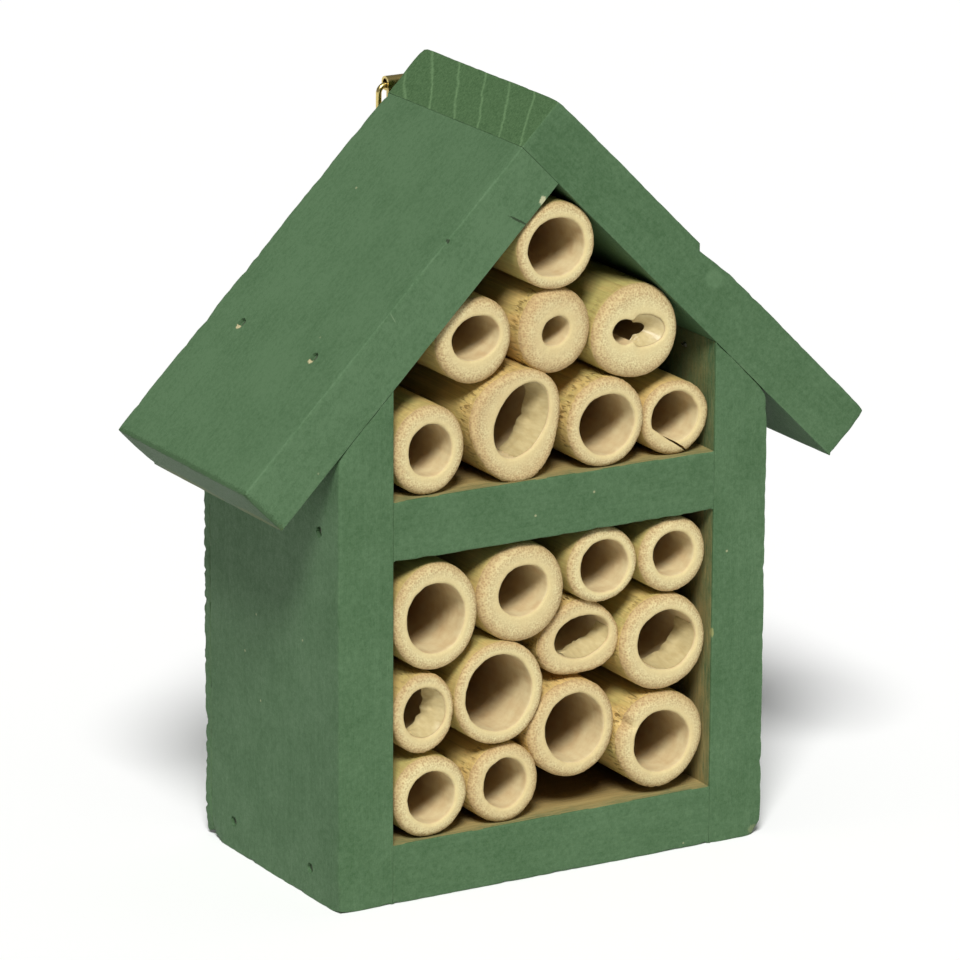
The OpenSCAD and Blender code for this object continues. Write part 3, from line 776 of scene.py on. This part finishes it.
class HOTEL_OT_back(bpy.types.Operator):
    """Builds the plywood back panel"""
    bl_idname = "insect_hotel.back"
    bl_label = "Back panel"

    def execute(self, context):
        top = (0, 0, PANEL_HIGH.z)
        panel = Board(PANEL_LOW, PANEL_HIGH, cuts=[(top, (1, 0, 1)), (top, (-1, 0, 1))], grain=2)
        panel.build("back_panel", painted_wood("painted_plywood_panel", math.radians(90), plies=True), 7,
                    pits=pits_over("panel_brads", panel.turn, 1, 1, BACK), wear=0.3, fray=1.1, fine=2,
                    dents=[(Vector((PANEL_LOW.x, PANEL_Y, 0)), 3.0, 1.4, Vector((0.5, 0, 0.6)))])
        return {"FINISHED"}


# ---------------------------------------------------------------- canes

# Each cane's bore: width, height, offset to the right and up, and turn in degrees;
# then the strength of a third, triangular harmonic of its outline and its turn,
# how torn its skin is behind the rim, and how green it is.
CANES = {
    "cane_upper_1": (9.8, 10.8, 0.1, 0.1, 0, 0.0, 0, 0.2, 0.6),
    "cane_upper_2": (11.6, 16.2, 0.9, 0.9, -30, 0.062, 42, 0.7, 0.3),
    "cane_upper_3": (12.7, 12.6, 0.1, -0.3, 0, 0.0, 0, 0.9, 0.5),
    "cane_upper_4": (10.9, 10.6, -0.3, 0.25, 0, 0.012, 20, 0.2, 0.3),
    "cane_upper_5": (11.0, 8.9, 0, 0.6, 12, 0.012, 40, 0.3, 0.5),
    "cane_upper_6": (6.6, 5.7, -0.2, 0.1, 35, 0.01, 0, 0.65, 0.2),
    "cane_upper_7": (12.0, 6.6, -0.1, 0.3, -6, 0.015, 80, 0.3, 0.9),
    "cane_upper_8": (13.2, 12.0, -0.1, -0.2, 0, 0.0, 0, 0.1, 0.8),
    "cane_lower_1": (10.9, 10.9, 0, 0, 0, 0.01, 0, 0.1, 0.9),
    "cane_lower_2": (9.9, 10.6, 0, 0.2, 0, 0.01, 50, 0.7, 0.2),
    "cane_lower_3": (13.2, 13.0, -0.1, -0.3, 0, 0.02, 30, 0.9, 0.5),
    "cane_lower_4": (13.8, 14.6, 0.4, 0.3, 10, 0.01, 60, 0.6, 0.1),
    "cane_lower_5": (9.7, 10.6, 0.3, 0.15, 0, 0.0, 0, 0.5, 0.4),
    "cane_lower_6": (15.4, 16.3, -0.2, 0.1, 0, 0.0, 0, 0.2, 0.7),
    "cane_lower_7": (13.5, 12.6, 0.4, 0.5, 0, 0.0, 0, 0.4, 0.6),
    "cane_lower_8": (13.0, 8.9, 0.7, 0.4, 8, 0.055, 90, 0.9, 0.2),
    "cane_lower_9": (13.4, 14.7, -0.1, -0.2, 0, 0.0, 0, 0.1, 0.8),
    "cane_lower_10": (11.4, 10.5, 0.1, 0.6, 20, 0.0, 0, 0.2, 0.5),
    "cane_lower_11": (11.2, 11.1, 0.3, -0.2, 0, 0.0, 0, 0.1, 0.9),
    "cane_lower_12": (9.6, 9.5, -0.2, 0.4, 0, 0.0, 0, 0.2, 0.8),
}


def cane_drift(seed):
    """Where a cane's own noise is read."""
    return Vector((seed * 3.7, seed * 11.9, seed * 7.3))


def oval(angle, half_w, half_h, turn=0.0):
    """Radius of an ellipse at an angle."""
    angle -= math.radians(turn)
    return 1 / math.hypot(math.cos(angle) / half_w, math.sin(angle) / half_h)


def bore_radius(node, angle, drift):
    """Radius of a cane's bore about the bore's own middle."""
    bore_w, bore_h, right, up, turn = CANES[node][:5]
    around = Vector((math.cos(angle), 0, math.sin(angle)))
    hole = oval(angle, bore_w / 2, bore_h / 2, turn)
    hole *= 1 + 0.035 * noise(around * 1.5 + drift + X * 9) + 0.012 * noise(around * 4 + drift)
    if node == "cane_upper_7":
        # The bore is pinched into a small lobe and a wide one
        pinches = [bell(angle - math.radians(at), 0.34) for at in (112, -112)]
        hole *= 1 - 0.30 * pinches[0] - 0.30 * pinches[1]
        hole *= 1 + 0.12 * math.cos(angle) * (1 if math.cos(angle) > 0 else 0.4)
    if node == "cane_upper_4":
        # A split piece of the wall has closed in along a chord
        facing = math.cos(angle - math.radians(233))
        if facing > 0.05:
            hole = min(hole, 4.6 / facing)
    return hole


def cane_shape(node, seed):
    """A cane: a closed profile spun about its axis, then drawn to its own outlines."""
    look = bpy.context.scene.hotel_canes
    low, high = box_mm(node)
    bore_w, bore_h, right, up, turn, third, third_turn, torn, green = CANES[node]
    half_w, half_h = (high.x - low.x) / 2, (high.z - low.z) / 2
    centre = (low + high) / 2
    front, back = low.y, high.y
    wall = (min(half_w, half_h) * 2 - max(bore_w, bore_h)) / 2
    rim = min(look.rim / MM, 0.72 * max(wall, 1.8))
    lip = look.bore_rim / MM

    # Profile: ("skin", inset from the skin) or ("bore", outset from the bore), distance behind the end
    depth = back - front
    skin = [("skin", 0, depth), ("skin", 0, depth * 0.6), ("skin", 0, depth * 0.35)]
    skin += [("skin", 0, rim + d) for d in (12, 8, 5.5, 4, 3.4, 2.8, 2.3, 1.8, 1.4, 1.0, 0.7, 0.4, 0.1)]
    end = [("skin", rim * (1 - math.cos(a)), rim * (1 - math.sin(a)) * 0.85)
           for a in map(math.radians, range(0, 91, 10))]
    end += [("face", share, 0) for share in (0.25, 0.5, 0.75)]
    end += [("bore", lip * (1 - math.sin(a)), lip * (1 - math.cos(a))) for a in map(math.radians, range(0, 91, 30))]
    lining = [("bore", 0, d) for d in (1.5, 3, 5, 8, 12, 18, 28)] + [("bore", 0, depth)]
    profile = skin + end + lining

    shape = bmesh.new()
    verts = [shape.verts.new((10 + i, i, 0)) for i in range(len(profile))]
    edges = [shape.edges.new((verts[i], verts[(i + 1) % len(verts)])) for i in range(len(verts))]
    bmesh.ops.spin(shape, geom=verts + edges, cent=(0, 0, 0), axis=(0, 1, 0), angle=2 * math.pi, steps=look.steps,
                   use_merge=True)
    bmesh.ops.remove_doubles(shape, verts=shape.verts, dist=1e-4)

    layers = {key: shape.verts.layers.float.new(key) for key in ("wall", "tone", "behind", "scar")}
    drift = cane_drift(seed)
    lean = Vector((noise(drift), 0, noise(drift + Z * 5))) * 0.02
    index_of = {}
    for vert in shape.verts:
        index = round(vert.co.y)
        kind, amount, behind = profile[index]
        index_of[vert] = index
        angle = math.atan2(vert.co.z, vert.co.x)
        around = Vector((math.cos(angle), 0, math.sin(angle)))
        outer = oval(angle, half_w, half_h)
        outer *= 1.015 + third * math.cos(3 * (angle - math.radians(third_turn)))
        outer += 0.2 * noise(around * 1.3 + drift)
        hole = bore_radius(node, angle, drift)
        # The bore is off centre, so its radius is taken about its own centre
        inner_point = around * hole + Vector((right, 0, up))
        outer_point = around * outer
        span = (outer_point - inner_point).length
        if kind == "skin":
            point = outer_point - around * min(amount, span * 0.8)
            share = 1 - amount / max(span, 0.5)
        elif kind == "bore":
            point = inner_point + around * min(amount, span * 0.3)
            share = 0.0
        else:
            start = outer_point - around * min(rim, span * 0.8)
            stop = inner_point + around * lip
            point = start.lerp(stop, amount)
            share = (1 - rim / max(span, 0.5)) * (1 - amount)
        # Saw marks and the torn edge of the skin
        spot = Vector((angle * outer * 1.6, behind * 1.2, seed))
        ragged = noise(spot) + 0.7 * noise(spot * 2.3)
        fringe = bell(behind - rim * 0.9, 1.1) if kind == "skin" else 0
        point -= around * max(0, ragged) * fringe * (0.08 + 0.34 * torn)
        if kind == "skin" and behind < rim * 1.1:
            # Crumbs that the saw left on the rim
            crumb = noise(Vector((point.x * 1.9, behind * 2.2, point.z * 1.9 + seed)))
            point += around * (0.06 + 0.12 * torn) * max(0, crumb)
        y = behind
        if kind != "bore" or behind < 1:
            flat = Vector((point.x, point.z, seed))
            uneven = 0.08 * noise(flat * 0.7) + 0.05 * noise(flat * 2.2)
            y += max(-0.05, uneven) * (behind < 2) + lean.dot(point) * math.exp(-behind / 6)
        if node == "cane_lower_3":
            # A bite out of the rim, upper left
            bite = bell(angle - math.radians(152), 0.13) * bell(behind, 3) * share
            point -= around * 1.6 * bite
            y += 1.4 * bite
        vert[layers["wall"]] = max(0.0, min(1.0, share))
        vert[layers["tone"]] = green
        vert[layers["behind"]] = behind
        band = bell(behind - 3.4, 2.6) if kind == "skin" else 0
        vert[layers["scar"]] = torn * band * (0.7 + 0.9 * max(0, noise(around * 2 + drift)))
        vert.co = Vector((centre.x + point.x, max(FRONT, front + y), centre.z + point.z))
    bmesh.ops.recalc_face_normals(shape, faces=shape.faces)
    last = len(profile) - 1
    for face in shape.faces:
        places = sorted(index_of[vert] for vert in face.verts)
        if places[0] == 0 and places[-1] == last:
            face.material_index = 1
        else:
            face.material_index = 0 if places[-1] < len(skin) + 2 else 1 if places[-1] < len(skin + end) - 1 else 2
    return shape


def film_shape(node, seed, start, stop, deep, sag, torn):
    """A thin peeled film inside a bore, between two angles in degrees.

    It hangs from the rim, and stands off the lining by sag at its torn inner edge.
    """
    low, high = box_mm(node)
    centre = (low + high) / 2 + Vector((CANES[node][2], 0, CANES[node][3]))
    drift = cane_drift(seed)
    shape = bmesh.new()
    rows, columns = 12, 30
    grid = []
    for row in range(rows + 1):
        line = []
        for column in range(columns + 1):
            way = column / columns
            # Torn ends
            pull = 0.05 * noise(Vector((row * 0.8, seed, 0)))
            angle = math.radians(start + (stop - start) * (way * (1 + pull) + pull * (1 - 2 * way)))
            tear = noise(Vector((way * 6, seed, 2))) * 0.8 + noise(Vector((way * 17, seed, 5))) * 0.35
            depth = 0.6 + (deep + torn * tear) * row / rows
            fold = 0.8 * torn * row / rows * noise(Vector((way * 7, row * 0.1, seed)))
            inset = sag * math.sin(math.pi * way) ** 0.6 * (row / rows) ** 0.9 + fold
            radius = max(0.6, bore_radius(node, angle, drift) - max(0.02, inset))
            across, rise = radius * math.cos(angle), radius * math.sin(angle)
            line.append(shape.verts.new((centre.x + across, low.y + depth, centre.z + rise)))
        grid.append(line)
    for line, below in zip(grid, grid[1:]):
        for column in range(columns):
            shape.faces.new((line[column], line[column + 1], below[column + 1], below[column]))
    bmesh.ops.recalc_face_normals(shape, faces=shape.faces)
    bmesh.ops.solidify(shape, geom=shape.faces[:], thickness=0.08)
    bmesh.ops.recalc_face_normals(shape, faces=shape.faces)
    return shape


# Each film: its cane, where it starts and stops round the bore in degrees, how deep
# it reaches, how far it bows in, and how torn it is
FILMS = {
    "film_upper_2": ("cane_upper_2", -100, 75, 6.5, 2.3, 0.7),
    "film_lower_5": ("cane_lower_5", -115, 80, 4.6, 3.0, 0.8),
    "film_lower_7": ("cane_lower_7", -110, 20, 6.5, 1.6, 0.8),
    "film_lower_8": ("cane_lower_8", -130, 10, 4.6, 1.9, 1.0),
    "film_upper_7": ("cane_upper_7", -92, 96, 2.6, 3.2, 0.3),
}


def split(mesh, corner, toward, thickness, depth):
    """Saws a thin crack through a cane's wall, with a Boolean that is applied here."""
    run = toward - corner
    shape = bmesh.new()
    bmesh.ops.create_cube(shape, size=1)
    bmesh.ops.subdivide_edges(shape, edges=shape.edges[:], cuts=7, use_grid_fill=True)
    for vert in shape.verts:
        wave = noise(Vector((vert.co.x * 5, 0, 3)))
        rise = vert.co.z * thickness * (1 + 0.5 * wave) + 0.25 * wave
        vert.co = Vector((vert.co.x * run.length, vert.co.y * depth * 2, rise))
    turn = Matrix((run.normalized(), Y, run.normalized().cross(Y))).transposed().to_4x4()
    bmesh.ops.transform(shape, matrix=Matrix.Translation((corner + toward) / 2) @ turn, verts=shape.verts)
    return carved(mesh, bpy.data.objects.new("crack", finished(shape, "crack")))


class HOTEL_OT_canes(bpy.types.Operator):
    """Builds the bamboo canes and the films inside some of them"""
    bl_idname = "insect_hotel.canes"
    bl_label = "Bamboo canes"

    def execute(self, context):
        materials = [bamboo_skin(), bamboo_end(), bamboo_bore()]
        seeds = {node: seed for seed, node in enumerate(CANES, 1)}
        for node, seed in seeds.items():
            mesh = finished(cane_shape(node, seed), node)
            if node == "cane_upper_4":
                near = box_mm(node)[0].y
                mesh = split(mesh, Vector((27.2, near, 88.4)), Vector((32.6, near, 84.4)), 0.45, 9)
            mesh.transform(Matrix.Scale(MM, 4))
            place_mesh(node + "_bamboo", mesh, materials, [node], 60)
        film = papery_film()
        for name, (node, *sizes) in FILMS.items():
            mesh = finished(film_shape(node, seeds[node], *sizes), name)
            mesh.transform(Matrix.Scale(MM, 4))
            place_mesh(name, mesh, [film], sharp=80)
        return {"FINISHED"}


# ---------------------------------------------------------------- fixings and hanger

FIXINGS = ("brads_left", "brads_right", "staples_left", "staples_right", "ridge_staples", "panel_brads")


class HOTEL_OT_fixings(bpy.types.Operator):
    """Finishes the brads, the staples and the brass hanger"""
    bl_idname = "insect_hotel.fixings"
    bl_label = "Fixings and hanger"

    def execute(self, context):
        steel, brass = painted_steel(), stamped_brass()
        for node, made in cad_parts.items():
            material = brass if node.startswith("hanger") else steel if node.endswith(FIXINGS) else None
            for place in made.material_slots if material else ():
                place.material = material
        return {"FINISHED"}


# ---------------------------------------------------------------- stage

class HOTEL_OT_stage(bpy.types.Operator):
    """Sets up the floor, the lights and the camera"""
    bl_idname = "insect_hotel.stage"
    bl_label = "Stage"

    def execute(self, context):
        scene = context.scene
        look = scene.hotel_stage
        # Seamless paper: matt and almost white
        paper, add = start_material("paper_backdrop_matt")
        add("OutputMaterial", add("BsdfPrincipled", Base_Color=(*look.floor, 1), Roughness=0.9,
                                  Specular_IOR_Level=0.1))
        shape = bmesh.new()
        bmesh.ops.create_grid(shape, x_segments=1, y_segments=1, size=6)
        floor = bpy.data.objects.new("floor", finished(shape, "floor"))
        floor.data.materials.append(paper)
        scene.collection.objects.link(floor)

        world = bpy.data.worlds.new("dome")
        world.use_nodes = True
        world.node_tree.nodes["Background"].inputs["Color"].default_value = (1, 1, 1, 1)
        world.node_tree.nodes["Background"].inputs["Strength"].default_value = look.dome
        scene.world = world

        # What the camera looks at
        middle = Vector((0.0006, 0.0029, 0.0756))
        key = bpy.data.lights.new("key", "SUN")
        key.energy, key.angle = look.key, look.softness
        # The key light stands at the front left, 49 degrees up
        toward = Vector((-0.35, -0.55, 0.76)).normalized()
        lamp = bpy.data.objects.new("key", key)
        lamp.matrix_world = Matrix.Translation(middle + toward) @ toward.to_track_quat("Z", "Y").to_matrix().to_4x4()
        scene.collection.objects.link(lamp)

        across, rise = math.cos(look.elevation), math.sin(look.elevation)
        backward = Vector((math.sin(look.azimuth) * across, -math.cos(look.azimuth) * across, rise))
        right = Vector((math.cos(look.azimuth), math.sin(look.azimuth), 0))
        turn = Matrix((right, backward.cross(right), backward)).transposed().to_4x4()
        camera = bpy.data.cameras.new("camera")
        camera.lens, camera.sensor_width = look.lens, 36
        camera.clip_start, camera.clip_end = 0.05, 30
        holder = bpy.data.objects.new("camera", camera)
        stand = Matrix.Translation(middle + backward * look.distance)
        holder.matrix_world = stand @ turn @ Matrix.Rotation(look.roll, 4, "Z")
        scene.collection.objects.link(holder)
        scene.camera = holder
        scene.view_settings.view_transform = "Standard"
        return {"FINISHED"}


STEPS = (HOTEL_OT_walls, HOTEL_OT_roof, HOTEL_OT_back, HOTEL_OT_canes, HOTEL_OT_fixings, HOTEL_OT_stage)


class HOTEL_PT_sidebar(bpy.types.Panel):
    """Lists the sizes, the colours and the steps"""
    bl_idname = "HOTEL_PT_sidebar"
    bl_label = "Insect hotel"
    bl_space_type = "VIEW_3D"
    bl_region_type = "UI"
    bl_category = "Insect hotel"

    def draw(self, context):
        for group, kind in LOOKS.items():
            column = self.layout.column()
            for name in kind.__annotations__:
                column.prop(getattr(context.scene, group), name)
        for step in STEPS:
            self.layout.operator(step.bl_idname)


CLASSES = (*LOOKS.values(), *STEPS, HOTEL_PT_sidebar)


def register():
    for kind in CLASSES:
        bpy.utils.register_class(kind)
    for group, kind in LOOKS.items():
        setattr(bpy.types.Scene, group, PointerProperty(type=kind))


def unregister():
    for group in LOOKS:
        delattr(bpy.types.Scene, group)
    for kind in reversed(CLASSES):
        bpy.utils.unregister_class(kind)


def main():
    register()
    for step in STEPS:
        name = step.bl_idname.split(".")[1]
        getattr(bpy.ops.insect_hotel, name)()


if __name__ == "__main__":
    main()
